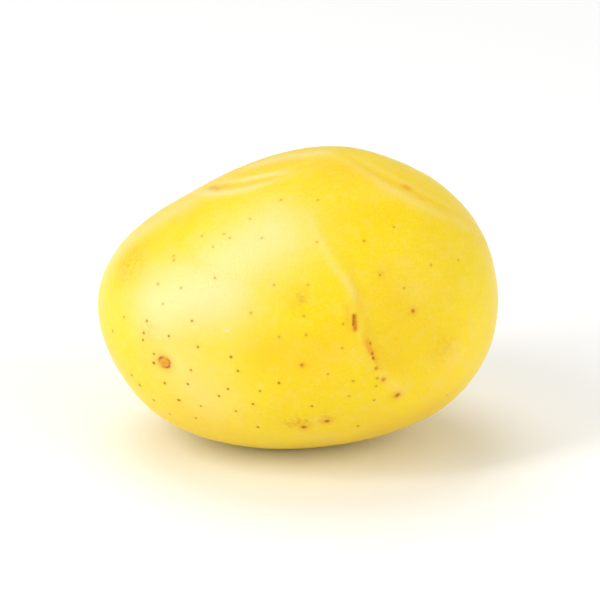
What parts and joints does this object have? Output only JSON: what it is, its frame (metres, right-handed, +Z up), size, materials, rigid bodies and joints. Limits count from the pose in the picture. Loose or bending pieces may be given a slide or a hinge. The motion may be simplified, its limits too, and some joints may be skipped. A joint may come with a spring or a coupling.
{
  "type": "potato",
  "caption": "Whole yellow-skinned potato, an oblong tuber with browed eyes and a stolon scar, lying on a small flat spot.",
  "frame": {"origin": "on the surface that the potato lies on, under the middle of its bounding box", "axes": "+X along the tuber's longest extent, towards its blunter end; +Z up, the shortest extent; -Y towards the viewer of the picture"},
  "size_m": [0.0818, 0.0676, 0.0596],
  "materials": {
    "skin": "thin satin corky skin, warm yellow, with brown lenticels"
  },
  "bodies": {
    "root": {"potato": "skin"}
  },
  "joints": []
}
